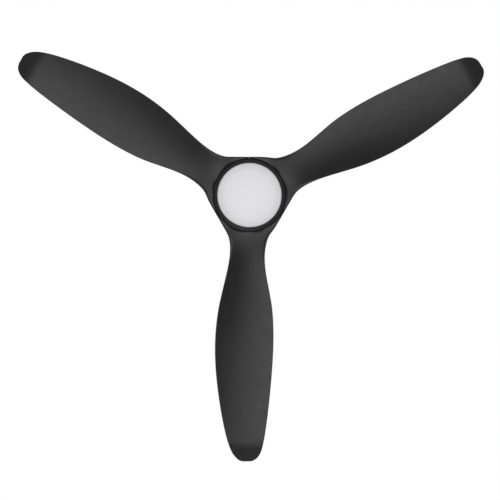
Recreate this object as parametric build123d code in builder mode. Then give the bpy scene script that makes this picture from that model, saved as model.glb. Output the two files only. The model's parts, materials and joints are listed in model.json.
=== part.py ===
from build123d import *
from math import cos, pi, radians, sin, sqrt, tan
import os

# A ceiling fan with a round light in its hub. Millimetres, +Z up.
# The origin is the middle of the bracket face that is screwed to the ceiling.
# Three blades turn round a motor with a hollow fixed shaft that carries the light.

# ---- driving dimensions -------------------------------------------------------------

# hanger bracket, 2 mm steel
sheet = 2.0
plate_long, plate_wide, plate_corner = 112.0, 40.0, 6.0
ear_x, ear_wide, ear_drop = 71.4, 22.0, 14.0
tongue_long, tongue_wide, tongue_y = 44.0, 24.0, -40.0
screw_pitch, slot_long, slot_wide = 96.0, 12.0, 6.5
cable_hole_x, cable_hole_y, cable_hole_r = 23.0, 6.0, 9.0
leg_x, leg_wide = 40.0, 34.0
hoop_long, hoop_wide, hoop_top, hoop_bottom = 80.0, 72.0, -56.0, -64.0
hoop_mouth, hoop_corner = 28.0, 22.0
block_long, block_wide, block_y, block_low = 30.0, 26.0, -49.0, -18.0
wire_hole_r, wire_hole_deep, wire_holes_x, wire_holes_y = 1.8, 6.0, (-10, -5, 5, 10), -53.0

# ball joint
ball_z, ball_r = -46.0, 28.0
ball_top, ball_bottom = -34.0, -66.0
ball_gap = 0.3
liner_r, liner_gap, liner_low, liner_high = 30.1, 30.0, -65.0, -52.0
tab_wide, tab_tip, tab_root, tab_tall = 4.0, 24.5, 32.0, 6.0
groove_wide, groove_floor = 11.4, 20.0
ball_pin_z, ball_pin_half = -38.8, 22.0
pin_r, pin_clear, pin_slot_clear = 3.0, 0.1, 0.2
ball_screw_r, ball_screw_z, ball_screw_end = 2.0, -54.0, 20.0

# rod and yoke
rod_r, rod_wall = 10.65, 2.0
rod_top, rod_bottom = -30.0, -150.0
rod_clear = 0.2
yoke_r, yoke_top, flange_top, yoke_bottom = 16.5, -122.0, -158.0, -163.0
flange_r, flange_screw_r = 34.0, 26.0
flange_angles = (45, 135, 225, 315)
flange_bolt_r, flange_head_r, flange_head = 2.0, 3.6, 2.8
clevis_z, clevis_half, clevis_head_r, clip_r = -136.0, 19.5, 4.5, 0.7
grip_screw_r, grip_screw_z, screw_gap = 2.5, -146.0, 0.02

# canopy and coupling cover
canopy_r, canopy_top, canopy_bottom = 75.0, -0.5, -68.0
canopy_corner, canopy_hole, shell = 22.0, 26.0, 1.8
canopy_screw_z, canopy_screw_y, canopy_screw_r = -10.0, 7.0, 2.0
canopy_screw_in, canopy_screw_out, canopy_head_r, canopy_head = 66.5, 75.1, 3.8, 2.2
cover_top, cover_bottom, cover_hole, cover_wall = -112.0, -162.8, 11.2, 1.26

# motor, from the top plate down
housing_r, housing_bottom = 93.0, -236.0
housing_in, shoulder_r, shoulder_drop = 67.0, 86.0, 20.0
top_plate_r, top_plate_low = 80.0, -165.0
case_screw_r, case_screw_angles = 72.0, (0, 90, 180, 270)
case_thread_r, case_head_r, case_head = 2.0, 3.6, 2.4
board_top, board_t, board_in, board_out = -184.0, 1.6, 26.0, 70.0
post_r, post_ring_r, post_pin_r, post_angles = 3.0, 62.0, 1.5, (30, 150, 270)
socket_size, socket_tall, socket_pitch = 16.0, 12.0, 84.0
upper_bell_top, upper_bell_low = -190.0, -194.0
lower_bell_top, lower_bell_low = -230.0, -238.0
rotor_r, ring_in, magnet_in = 82.0, 76.0, 73.0
magnet_gap, magnet_over = 1.5, 3.0
bell_boss_r, bell_hole_r, bell_screw_ring = 24.0, 12.0, 79.0
stator_r, stator_top, stator_low = 72.0, -203.0, -221.0
pole_in, core_out, core_in = 66.0, 42.0, 30.0
teeth, tooth_middle, tooth_long, tooth_wide, pole_gap = 12, 54.0, 26.0, 10.0, 3.0
coil_start, coil_long, coil_wide, coil_tall, coil_corner = 44.5, 19.0, 18.0, 26.0, 3.8
coil_clear, magnet_count = 0.1, 16
shaft_r, shaft_bore, shaft_top, shaft_bottom = 8.5, 5.0, -152.0, -256.0
window_long, supply_window, supply_window_z = 16.0, 6.4, -173.0
light_window, light_window_z = 4.6, -182.5
clip_t, clip_out, clip_depth = 1.35, 10.8, 0.5
race_out, race_wide, ball_pitch, race_ball = 17.5, 10.0, 13.0, 2.35
outer_race_in, inner_race_out, spacer_r, track_clear = 14.7, 11.3, 11.0, 0.2
cage_in, cage_out, cage_tall = 12.4, 13.6, 6.0
bearing_tops = (-194.0, -232.0)
fit = 0.05

# hub, light and blades
skirt_r, skirt_in, skirt_bottom = 95.0, 90.5, -270.5
root_low, root_in, root_screw_r = -243.0, 50.0, 66.0
root_thread_r, root_hole_r, root_head_r, root_head = 2.5, 2.7, 4.5, 3.6
blade_seam = 0.1
blades = 3
tip_r = 660.0
pan_top, pan_low, pan_r, pan_t = -249.0, -267.4, 86.0, 1.6
boss_r, boss_ring_r, boss_angles = 3.5, 66.0, (60, 180, 300)
nut_r, nut_tall, washer_r, washer_t = 13.0, 4.0, 15.0, 1.0
driver_x, driver_long, driver_wide, driver_tall = 43.0, 38.0, 26.0, 13.0
led_board_top, led_board_r, led_board_t = -265.5, 72.0, 1.6
led_rings, chip_long, chip_wide, chip_t = ((18, 6), (38, 12), (57, 18)), 3.5, 2.8, 0.7
led_screw_r, led_head_r, led_head = 1.25, 2.6, 1.6
bezel_r, bezel_top, bezel_edge, bezel_low = 89.0, -256.0, -270.5, -276.0
bezel_lip_out, bezel_lip_in, ledge_in, ledge_low = 80.2, 79.7, 78.5, -270.4
lug_gap_angle, lug_gap_wide, lug_gap_deep = 20, 22.0, 3.6
lug_wide, lug_deep, lug_tall = 18.0, 2.4, 2.6
diffuser_r, diffuser_top, diffuser_edge, diffuser_low = 79.2, -271.4, -288.5, -296.5
diffuser_wall, diffuser_round = 2.0, 5.0
collar_in, collar_out, collar_tall = 75.8, 77.8, 4.0
supply_r, light_lead_r = 2.5, 1.6


# ---- helpers ------------------------------------------------------------------------

def disc(low, high, outer, inner=0.0, mode=Mode.ADD):
    """A flat ring or disc about the fan's axis, joined to the part being built."""
    with BuildSketch(Plane.XY.offset(low)) as section:
        Circle(outer)
        if inner:
            Circle(inner, mode=Mode.SUBTRACT)
    extrude(section.sketch, amount=high - low, mode=mode)


def studs(radius, low, high, places, mode=Mode.ADD):
    """Round pegs or holes along Z, one at each (x, y) place."""
    with BuildSketch(Plane.XY.offset(low)) as section:
        with Locations(*places):
            Circle(radius)
    extrude(section.sketch, amount=high - low, mode=mode)


def polar(radius, angles):
    """Places on a circle, at the given angles in degrees."""
    return [(radius * cos(radians(a)), radius * sin(radians(a))) for a in angles]


def cross_bar(radius, z, start, end, y=0.0, mode=Mode.ADD):
    """A round bar or hole along X."""
    with BuildSketch(Plane.YZ.offset(start)) as section:
        with Locations((y, z)):
            Circle(radius)
    extrude(section.sketch, amount=end - start, mode=mode)


def fore_bar(radius, z, start, end, mode=Mode.ADD):
    """A round bar or hole along Y."""
    with BuildSketch(Plane.XZ.offset(-start)) as section:
        with Locations((0, z)):
            Circle(radius)
    extrude(section.sketch, amount=start - end, mode=mode)


def turned(points):
    """A solid of revolution about Z from (radius, z) corners."""
    with BuildSketch(Plane.XZ) as section:
        with BuildLine():
            Polyline(*points, close=True)
        make_face()
    revolve(section.sketch, axis=Axis.Z)


def dome_points(reach, edge, low):
    """Three points from the axis to the edge of a spherical dome that hangs down."""
    depth = edge - low
    ball = (reach**2 + depth**2) / (2 * depth)
    return [(0, low), (reach / 2, low + ball - sqrt(ball**2 - reach**2 / 4)), (reach, edge)]


def arc_radii(points):
    """The largest arc that the two runs at each corner of a route allow."""
    radii = []
    for before, corner, after in zip(points, points[1:], points[2:]):
        run_in = Vector(*corner) - Vector(*before)
        run_out = Vector(*after) - Vector(*corner)
        half_turn = radians(run_in.get_angle(run_out)) / 2
        radii.append(0.45 * min(run_in.length, run_out.length) / tan(half_turn))
    return radii


def lead(name, points, radius):
    """A round lead along straight runs joined by tangent arcs."""
    radii = arc_radii(points)
    with BuildLine() as route:
        FilletPolyline(*points, radius=radii)
    start = Plane(origin=points[0], z_dir=Vector(*points[1]) - Vector(*points[0]))
    with BuildSketch(start) as section:
        Circle(radius)
    sweep(section.sketch, path=route.wire())
    length = route.wire().length
    print(name, "length", round(length, 1), "radii", [round(r, 1) for r in radii])
    print(name, "section times length", round(pi * radius**2 * length, 1))


# ---- fixed to the ceiling -----------------------------------------------------------

screw_sides = [(side, y) for side in (-1, 1) for y in (-canopy_screw_y, canopy_screw_y)]

with BuildPart() as hanger_bracket:
    with BuildSketch(Plane.XY.offset(-sheet)):
        RectangleRounded(plate_long, plate_wide, plate_corner)
        Rectangle(2 * ear_x, ear_wide)
        with Locations((0, tongue_y)):
            RectangleRounded(tongue_wide, tongue_long, plate_corner / 2)
        with GridLocations(screw_pitch, 0, 2, 1):
            SlotOverall(slot_long, slot_wide, mode=Mode.SUBTRACT)
        with Locations((cable_hole_x, cable_hole_y)):
            Circle(cable_hole_r, mode=Mode.SUBTRACT)
    extrude(amount=sheet)
    with BuildSketch(Plane.XY.offset(-ear_drop)):
        with GridLocations(2 * ear_x - sheet, 0, 2, 1):
            Rectangle(sheet, ear_wide)
    extrude(amount=ear_drop - sheet)
    with BuildSketch(Plane.XY.offset(hoop_bottom)):
        with GridLocations(2 * leg_x - sheet, 0, 2, 1):
            Rectangle(sheet, leg_wide)
    extrude(amount=-sheet - hoop_bottom)
    with BuildSketch(Plane.XY.offset(hoop_bottom)):
        RectangleRounded(hoop_long, hoop_wide, hoop_corner)
    extrude(amount=hoop_top - hoop_bottom)
    with Locations((0, 0, ball_z)):
        Sphere(liner_r + ball_gap, mode=Mode.SUBTRACT)
    with BuildSketch(Plane.XY.offset(hoop_bottom)):
        with Locations((0, hoop_wide / 2)):
            Rectangle(hoop_mouth, hoop_wide)
    extrude(amount=hoop_top - hoop_bottom, mode=Mode.SUBTRACT)
    # the tab that keeps the ball from turning, rooted in the hoop
    with BuildSketch(Plane.XY.offset(hoop_top - tab_tall)):
        with Locations((0, -(tab_tip + tab_root) / 2)):
            Rectangle(tab_wide, tab_root - tab_tip)
    extrude(amount=tab_tall)
    for side, y in screw_sides:
        cross_bar(canopy_screw_r + fit, canopy_screw_z, side * (ear_x - 5),
                  side * (ear_x + 5), y, Mode.SUBTRACT)

with BuildPart() as canopy:
    with BuildSketch(Plane.XZ):
        with BuildLine():
            wall = FilletPolyline(
                (canopy_r, canopy_top), (canopy_r, canopy_bottom),
                (canopy_hole, canopy_bottom), radius=canopy_corner,
            )
            offset(wall, amount=shell, side=Side.RIGHT)
        make_face()
    revolve(axis=Axis.Z)
    for side, y in screw_sides:
        cross_bar(canopy_screw_r + 4 * fit, canopy_screw_z, side * (canopy_r - 5),
                  side * (canopy_r + 5), y, Mode.SUBTRACT)

with BuildPart() as canopy_screws:
    for side, y in screw_sides:
        cross_bar(canopy_screw_r, canopy_screw_z, side * canopy_screw_in,
                  side * canopy_screw_out, y)
        cross_bar(canopy_head_r, canopy_screw_z, side * canopy_screw_out,
                  side * (canopy_screw_out + canopy_head), y)

with BuildPart() as terminal_block:
    with BuildSketch(Plane.XY.offset(block_low)):
        with Locations((0, block_y)):
            Rectangle(block_long, block_wide)
    extrude(amount=-sheet - block_low)
    chamfer(terminal_block.edges().filter_by(Axis.Z), 1.5)
    places = [(x, wire_holes_y) for x in wire_holes_x]
    studs(wire_hole_r, block_low, block_low + wire_hole_deep, places, Mode.SUBTRACT)

# ---- the ball joint -----------------------------------------------------------------

# Two rubber pads, one on each side, between the ball and the hoop.
with BuildPart() as ball_seat_liner:
    with Locations((0, 0, ball_z)):
        Sphere(liner_r)
        Sphere(ball_r + ball_gap, mode=Mode.SUBTRACT)
    with BuildSketch(Plane.XY.offset(liner_low)):
        Rectangle(4 * liner_r, 4 * liner_r)
        Rectangle(liner_gap, 4 * liner_r, mode=Mode.SUBTRACT)
    extrude(amount=liner_high - liner_low, mode=Mode.INTERSECT)

with BuildPart() as hanger_ball:
    with Locations((0, 0, ball_z)):
        Sphere(ball_r)
    disc(ball_bottom, ball_top, 2 * ball_r, mode=Mode.INTERSECT)
    disc(ball_bottom, ball_top, rod_r + rod_clear, mode=Mode.SUBTRACT)
    # the slot that the cross pin drops into
    cross_bar(pin_r + pin_slot_clear, ball_pin_z, -ball_r, ball_r, mode=Mode.SUBTRACT)
    with BuildSketch(Plane.XY.offset(ball_pin_z)):
        Rectangle(2 * ball_r, 2 * (pin_r + pin_slot_clear))
    extrude(amount=2 * (ball_top - ball_pin_z), mode=Mode.SUBTRACT)
    # the slot for the bracket's tab
    with BuildSketch(Plane.XY.offset(ball_bottom)):
        with Locations((0, -groove_floor - ball_r / 2)):
            Rectangle(groove_wide, ball_r)
    extrude(amount=2 * ball_r, mode=Mode.SUBTRACT)
    fore_bar(ball_screw_r + fit, ball_screw_z, rod_r, ball_r, Mode.SUBTRACT)

with BuildPart() as ball_pin:
    cross_bar(pin_r, ball_pin_z, -ball_pin_half, ball_pin_half)
    chamfer(ball_pin.edges(), 0.5)

with BuildPart() as ball_set_screw:
    fore_bar(ball_screw_r, ball_screw_z, rod_r + screw_gap, ball_screw_end)

with BuildPart() as downrod:
    disc(rod_bottom, rod_top, rod_r, rod_r - rod_wall)
    for z in (ball_pin_z, clevis_z):
        cross_bar(pin_r + pin_clear, z, -2 * rod_r, 2 * rod_r, mode=Mode.SUBTRACT)

# ---- yoke and coupling cover --------------------------------------------------------

flange_places = polar(flange_screw_r, flange_angles)
with BuildPart() as yoke:
    disc(yoke_bottom, yoke_top, yoke_r)
    disc(yoke_bottom, flange_top, flange_r)
    disc(shaft_top, yoke_top, rod_r + rod_clear, mode=Mode.SUBTRACT)
    disc(yoke_bottom, shaft_top, shaft_r + fit, mode=Mode.SUBTRACT)
    cross_bar(pin_r + pin_clear, clevis_z, -2 * yoke_r, 2 * yoke_r, mode=Mode.SUBTRACT)
    fore_bar(grip_screw_r + fit, grip_screw_z, -2 * yoke_r, 2 * yoke_r, Mode.SUBTRACT)
    studs(flange_bolt_r + 4 * fit, yoke_bottom, flange_top, flange_places, Mode.SUBTRACT)
    fillet(yoke.edges().filter_by(GeomType.CIRCLE).group_by(Axis.Z)[-1].sort_by(SortBy.RADIUS)[-1], 1)

with BuildPart() as yoke_flange_screws:
    studs(flange_bolt_r, top_plate_low, flange_top, flange_places)
    studs(flange_head_r, flange_top, flange_top + flange_head, flange_places)

with BuildPart() as yoke_set_screws:
    for side in (-1, 1):
        fore_bar(grip_screw_r, grip_screw_z, side * (rod_r + screw_gap), side * yoke_r)

with BuildPart() as clevis_pin:
    cross_bar(pin_r, clevis_z, -yoke_r - 0.5, clevis_half + 1.5)
    cross_bar(clevis_head_r, clevis_z, -clevis_half, -yoke_r - 0.5)
    studs(0.9, clevis_z - 5, clevis_z + 5, [(clevis_half - 1, 0)], Mode.SUBTRACT)

# One leg through the pin, the other bowed round its side.
with BuildPart() as hairpin_clip:
    clip_x = clevis_half - 1
    lead(
        "hairpin_clip",
        [(clip_x, 0, -144), (clip_x, 0, -126), (clip_x, 5, -124), (clip_x, 5.6, -131),
         (clip_x, 4.0, -136), (clip_x, 5.4, -141), (clip_x, 5.0, -145)],
        clip_r,
    )

with BuildPart() as coupling_cover:
    with BuildSketch(Plane.XZ):
        outside = [(10, cover_top), (21.5, cover_top - 3.5), (28.5, cover_top - 14),
                   (33, cover_top - 30), (39, cover_top - 44), (45.5, cover_bottom)]
        inside = [(r - cover_wall, z - cover_wall) for r, z in outside]
        with BuildLine():
            Spline(*outside)
            Line(outside[-1], inside[-1])
            Spline(*reversed(inside))
            Line(inside[0], outside[0])
        make_face()
    revolve(axis=Axis.Z)
    disc(cover_bottom - 5, cover_bottom, 2 * flange_r, mode=Mode.SUBTRACT)
    disc(cover_top - 20, cover_top + 10, cover_hole, mode=Mode.SUBTRACT)

# ---- fixed part of the motor --------------------------------------------------------

case_screws = polar(case_screw_r, case_screw_angles)
posts = polar(post_ring_r, post_angles)
with BuildPart() as motor_top_plate:
    disc(top_plate_low, yoke_bottom, top_plate_r, shaft_r + fit)
    studs(flange_bolt_r + fit, top_plate_low, yoke_bottom, flange_places, Mode.SUBTRACT)
    studs(case_thread_r + fit, top_plate_low, yoke_bottom, case_screws, Mode.SUBTRACT)
    studs(post_pin_r + 2 * fit, top_plate_low, yoke_bottom, posts, Mode.SUBTRACT)

with BuildPart() as motor_housing:
    with BuildSketch(Plane.XZ):
        with BuildLine():
            wall = FilletPolyline(
                (housing_in, top_plate_low), (shoulder_r, top_plate_low),
                (housing_r, top_plate_low - shoulder_drop), (housing_r, housing_bottom),
                radius=[10, 12],
            )
            offset(wall, amount=shell, side=Side.RIGHT)
        make_face()
    revolve(axis=Axis.Z)
    studs(case_thread_r + 4 * fit, top_plate_low - 5, yoke_bottom, case_screws, Mode.SUBTRACT)

with BuildPart() as housing_screws:
    studs(case_thread_r, top_plate_low - 4, yoke_bottom, case_screws)
    studs(case_head_r, yoke_bottom, yoke_bottom + case_head, case_screws)

with BuildPart() as motor_shaft:
    disc(shaft_bottom, shaft_top, shaft_r, shaft_bore)
    # windows for the supply lead and for the light's lead
    with BuildSketch(Plane.XZ):
        with Locations((0, supply_window_z)):
            SlotOverall(window_long, supply_window, rotation=90)
    extrude(amount=2 * shaft_r, mode=Mode.SUBTRACT)
    with BuildSketch(Plane.XZ):
        with Locations((0, light_window_z)):
            SlotOverall(window_long, light_window, rotation=90)
    extrude(amount=-2 * shaft_r, mode=Mode.SUBTRACT)
    # groove of the circlip
    disc(bearing_tops[0], bearing_tops[0] + clip_t + fit, shaft_r + 1, shaft_r - clip_depth,
         Mode.SUBTRACT)

with BuildPart() as circlip:
    disc(bearing_tops[0], bearing_tops[0] + clip_t, clip_out, shaft_r - clip_depth + fit)
    with BuildSketch(Plane.XY.offset(bearing_tops[0])):
        with Locations((0, clip_out)):
            Rectangle(7, clip_out)
    extrude(amount=2 * clip_t, mode=Mode.SUBTRACT)

with BuildPart() as board_standoffs:
    post_low = board_top - board_t - 1.6
    studs(post_r, board_top, top_plate_low, posts)
    studs(post_pin_r, post_low, board_top, posts)
    studs(post_pin_r, top_plate_low, yoke_bottom, posts)
    studs(post_r - 0.2, post_low, board_top - board_t, posts)

with BuildPart() as driver_board:
    disc(board_top - board_t, board_top, board_out, board_in)
    studs(post_pin_r + 2 * fit, board_top - board_t, board_top, posts, Mode.SUBTRACT)

# Sockets for the two leads, capacitors, a choke, and the switches on their cooler.
with BuildPart() as driver_components:
    with BuildSketch(Plane.XY.offset(board_top)):
        with GridLocations(0, socket_pitch, 1, 2):
            Rectangle(socket_size, socket_size)
    extrude(amount=socket_tall)
    studs(7.5, board_top, board_top + 15, polar(50, (0, 20)))
    studs(5.0, board_top, board_top + 12, polar(50, (38, 205, 220)))
    with BuildSketch(Plane.XY.offset(board_top)):
        with Locations(Location((-50, 0), 90)):
            Rectangle(24, 16)
            Rectangle(12, 5, mode=Mode.SUBTRACT)
    extrude(amount=13)
    with BuildSketch(Plane.XY.offset(board_top)):
        with Locations(*[Location(place, angle) for place, angle
                         in zip(polar(46, (-20, -38, 130)), (70, 52, 40))]):
            Rectangle(14, 5)
    extrude(amount=11)

with BuildPart() as stator_hub:
    disc(stator_low + 1, stator_top - 5, core_in, shaft_r + fit)

with BuildPart() as stator_core:
    disc(stator_low, stator_top, stator_r, pole_in)
    disc(stator_low, stator_top, core_out, core_in)
    with BuildSketch(Plane.XY.offset(stator_low)):
        with PolarLocations(tooth_middle, teeth):
            Rectangle(tooth_long, tooth_wide)
    extrude(amount=stator_top - stator_low)
    with BuildSketch(Plane.XY.offset(stator_low)):
        with PolarLocations((stator_r + pole_in) / 2, teeth, start_angle=180 / teeth):
            Rectangle(2 * (stator_r - pole_in), pole_gap)
    extrude(amount=stator_top - stator_low, mode=Mode.SUBTRACT)

with BuildPart() as stator_windings:
    for turn in range(teeth):
        tooth = Plane.XY.rotated((0, 0, 360 / teeth * turn))
        middle = tooth.from_local_coords((coil_start, 0, (stator_top + stator_low) / 2))
        with BuildSketch(Plane(middle, (0, 0, 1), tooth.x_dir)):
            RectangleRounded(coil_tall, coil_wide, coil_corner)
            Rectangle(stator_top - stator_low + 2 * coil_clear, tooth_wide + 2 * coil_clear,
                      mode=Mode.SUBTRACT)
    extrude(amount=coil_long)

with BuildPart() as bearing_spacers:
    disc(stator_top - 5, bearing_tops[0] - race_wide, spacer_r, shaft_r + fit)
    disc(bearing_tops[1], stator_low + 1, spacer_r, shaft_r + fit)
    disc(pan_top, bearing_tops[1] - race_wide, spacer_r, shaft_r + fit)

with BuildPart() as bearing_inner_races:
    for top in bearing_tops:
        disc(top - race_wide, top, inner_race_out, shaft_r + fit)
        with BuildSketch(Plane.XZ):
            with Locations((ball_pitch, top - race_wide / 2)):
                Circle(race_ball + track_clear)
        revolve(axis=Axis.Z, mode=Mode.SUBTRACT)

# ---- turning part of the motor ------------------------------------------------------

bell_screws = polar(bell_screw_ring, (30, 90, 150, 210, 270, 330))
blade_angles = [-90 + 360 / blades * n for n in range(blades)]
root_screws = polar(root_screw_r, [a + b for a in blade_angles for b in (-25, 0, 25)])

with BuildPart() as bearing_outer_races:
    for top in bearing_tops:
        disc(top - race_wide, top, race_out, outer_race_in)
        with BuildSketch(Plane.XZ):
            with Locations((ball_pitch, top - race_wide / 2)):
                Circle(race_ball + track_clear)
        revolve(axis=Axis.Z, mode=Mode.SUBTRACT)

with BuildPart() as bearing_cages:
    for top in bearing_tops:
        middle = top - race_wide / 2
        disc(middle - cage_tall / 2, middle + cage_tall / 2, cage_out, cage_in)
        with Locations(*[(x, y, middle) for x, y in polar(ball_pitch, range(0, 360, 40))]):
            Sphere(race_ball)

with BuildPart() as rotor_upper_bell:
    disc(upper_bell_low, upper_bell_top, rotor_r, bell_hole_r)
    disc(bearing_tops[0] - race_wide, upper_bell_low, bell_boss_r, race_out + fit)
    studs(1.6, upper_bell_low, upper_bell_top, bell_screws, Mode.SUBTRACT)

with BuildPart() as rotor_lower_bell:
    disc(lower_bell_low, lower_bell_top, rotor_r)
    disc(bearing_tops[1] - race_wide, lower_bell_top + 4, bell_boss_r)
    disc(bearing_tops[1] - race_wide, bearing_tops[1], race_out + fit, mode=Mode.SUBTRACT)
    disc(bearing_tops[1], lower_bell_top + 4, bell_hole_r, mode=Mode.SUBTRACT)
    studs(1.55, lower_bell_top - 6, lower_bell_top, bell_screws, Mode.SUBTRACT)
    studs(root_thread_r + fit, lower_bell_low, lower_bell_low + 6, root_screws, Mode.SUBTRACT)

with BuildPart() as rotor_ring:
    disc(lower_bell_top, upper_bell_low, rotor_r, ring_in)
    studs(1.6, lower_bell_top, upper_bell_low, bell_screws, Mode.SUBTRACT)

with BuildPart() as rotor_magnets:
    disc(stator_low - magnet_over, stator_top + magnet_over, ring_in, magnet_in)
    with BuildSketch(Plane.XY.offset(stator_low - magnet_over)):
        with PolarLocations((ring_in + magnet_in) / 2, magnet_count):
            Rectangle(3 * (ring_in - magnet_in), magnet_gap)
    extrude(amount=stator_top - stator_low + 2 * magnet_over, mode=Mode.SUBTRACT)

with BuildPart() as rotor_case_screws:
    studs(1.5, lower_bell_top - 5.5, upper_bell_top, bell_screws)
    studs(2.8, upper_bell_top, upper_bell_top + 2.2, bell_screws)

# ---- blades -------------------------------------------------------------------------

# Stations along the span. Each has its distance from the fan's axis, the reach of the
# trailing and of the leading edge from the blade's line, the height of the middle, the
# slope and the curl of the mean line, and the thickness in the middle and at the edges.
# The tip is bent upwards over its last 50 mm.
stations = (
    (48.0, 82.0, 82.0, -255.0, 0.00, 0.00, 32.0, 31.0),
    (70.0, 69.3, 69.3, -255.0, 0.00, 0.00, 32.0, 31.0),
    (86.0, 60.2, 59.0, -255.8, 0.05, 0.05, 31.0, 29.0),
    (99.0, 53.4, 49.6, -256.3, 0.14, 0.14, 29.0, 26.0),
    (111.0, 49.9, 44.3, -256.6, 0.22, 0.22, 26.5, 22.0),
    (124.0, 48.3, 40.9, -256.4, 0.30, 0.30, 23.5, 17.5),
    (149.0, 49.0, 37.9, -255.5, 0.41, 0.38, 18.5, 10.5),
    (186.0, 55.2, 39.9, -253.2, 0.45, 0.42, 14.5, 5.5),
    (223.0, 63.9, 46.3, -251.5, 0.45, 0.42, 12.0, 3.6),
    (272.0, 75.0, 55.1, -250.5, 0.42, 0.40, 10.0, 3.0),
    (322.0, 82.3, 59.1, -250.1, 0.37, 0.37, 9.0, 3.0),
    (371.0, 85.1, 59.2, -250.0, 0.34, 0.34, 8.4, 3.0),
    (421.0, 84.0, 56.8, -250.0, 0.31, 0.32, 7.8, 3.0),
    (471.0, 79.5, 52.8, -250.0, 0.28, 0.30, 7.2, 3.0),
    (520.0, 72.8, 47.8, -250.0, 0.25, 0.28, 6.7, 3.0),
    (570.0, 63.6, 41.6, -250.0, 0.23, 0.24, 6.0, 3.0),
    (600.0, 56.5, 37.0, -250.0, 0.21, 0.19, 5.4, 3.0),
    (612.0, 52.9, 34.6, -249.5, 0.20, 0.16, 5.1, 3.0),
    (621.0, 49.9, 32.6, -246.2, 0.19, 0.12, 4.8, 2.9),
    (632.0, 45.6, 29.8, -239.6, 0.18, 0.08, 4.4, 2.8),
    (646.0, 37.2, 23.2, -230.8, 0.18, 0.05, 3.8, 2.6),
    (654.0, 29.7, 16.3, -226.0, 0.18, 0.03, 3.3, 2.4),
    (658.5, 22.6, 8.2, -223.4, 0.18, 0.02, 2.8, 2.2),
    (tip_r, 16.5, 1.5, -222.5, 0.18, 0.02, 2.2, 2.0),
)


def blade_face(station, side):
    """Points across a section's upper (1) or lower (-1) face. Only the upper one bulges."""
    trailing, leading, middle, slope, curl, thick, edge = station[1:]
    half = (trailing + leading) / 2
    points = []
    for step in range(-5, 6):
        across = step / 5
        fall = half * (slope * across + curl * across**2 / 2)
        lift = edge / 2
        if side > 0:
            lift += (thick - edge) * (1 - abs(across) ** 3)
        points.append((trailing - half + half * across, middle - fall + side * lift))
    return points


def hub_third(low, high, outer, inner):
    """A third of a ring about +X, with half of the blades' seam taken off each end."""
    slip = blade_seam / sin(pi / blades)
    end_x, end_y = slip + 200 * cos(pi / blades), 200 * sin(pi / blades)
    with BuildSketch(Plane.XY.offset(low)) as section:
        Circle(outer)
        Circle(inner, mode=Mode.SUBTRACT)
        with BuildLine():
            Polyline((slip, 0), (end_x, end_y), (400, 0), (end_x, -end_y), close=True)
        make_face(mode=Mode.INTERSECT)
    extrude(section.sketch, amount=high - low)


# One blade with its third of the hub, along +X. The trailing edge is on the +Y side.
with BuildPart() as blade:
    for station in stations:
        upper, lower = blade_face(station, 1), blade_face(station, -1)
        with BuildSketch(Plane.YZ.offset(station[0])):
            with BuildLine():
                Spline(*upper)
                Line(upper[-1], lower[-1])
                Spline(*reversed(lower))
                Line(lower[0], upper[0])
            make_face()
    loft()
    disc(-400, -100, skirt_in, mode=Mode.SUBTRACT)
    hub_third(skirt_bottom, lower_bell_low, skirt_r, skirt_in)
    hub_third(root_low, lower_bell_low, skirt_in + 1, root_in)
    studs(root_hole_r, root_low, lower_bell_low, polar(root_screw_r, (-25, 0, 25)),
          Mode.SUBTRACT)

with BuildPart() as blade_screws:
    studs(root_thread_r, root_low, lower_bell_low + 5, root_screws)
    studs(root_head_r, root_low - root_head, root_low, root_screws)

# ---- light --------------------------------------------------------------------------

bosses = polar(boss_ring_r, boss_angles)
with BuildPart() as light_pan:
    disc(pan_top - pan_t, pan_top, pan_r, shaft_r + fit)
    disc(pan_low, pan_top, pan_r, pan_r - pan_t)
    studs(boss_r, led_board_top, pan_top - 1, bosses)
    studs(led_screw_r + fit, led_board_top, pan_top, bosses, Mode.SUBTRACT)

with BuildPart() as shaft_nut:
    washer_low = pan_top - pan_t - washer_t
    with BuildSketch(Plane.XY.offset(washer_low - nut_tall)):
        RegularPolygon(nut_r, 6)
        Circle(shaft_r + fit, mode=Mode.SUBTRACT)
    extrude(amount=nut_tall)
    disc(washer_low, pan_top - pan_t, washer_r, shaft_r + fit)

with BuildPart() as light_driver:
    with BuildSketch(Plane.XY.offset(pan_top - pan_t - driver_tall)):
        with Locations((driver_x, 0)):
            RectangleRounded(driver_long, driver_wide, 2)
    extrude(amount=driver_tall)

with BuildPart() as led_board:
    led_board_low = led_board_top - led_board_t
    disc(led_board_low, led_board_top, led_board_r)
    studs(led_screw_r + 5 * fit, led_board_low, led_board_top, bosses, Mode.SUBTRACT)

with BuildPart() as led_chips:
    for ring_r, count in led_rings:
        with BuildSketch(Plane.XY.offset(led_board_low - chip_t)):
            with PolarLocations(ring_r, count, start_angle=180 / count):
                Rectangle(chip_long, chip_wide)
        extrude(amount=chip_t)

with BuildPart() as led_board_screws:
    studs(led_screw_r, led_board_low, pan_top - 3, bosses)
    studs(led_head_r, led_board_low - led_head, led_board_low, bosses)

# The ledge at the top holds the diffuser's lugs; three gaps in it let them pass.
with BuildPart() as light_bezel:
    turned([(pan_r + 2 * fit, bezel_top), (bezel_r, bezel_top), (bezel_r, bezel_edge),
            (bezel_lip_out, bezel_low), (bezel_lip_in, bezel_low), (bezel_lip_in, ledge_low),
            (ledge_in, ledge_low), (ledge_in, pan_low), (pan_r + 2 * fit, pan_low)])
    with BuildSketch(Plane.XY.offset(ledge_low - 1)):
        with PolarLocations(ledge_in, 3, start_angle=lug_gap_angle):
            Rectangle(lug_gap_deep, lug_gap_wide)
    extrude(amount=5, mode=Mode.SUBTRACT)

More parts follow.
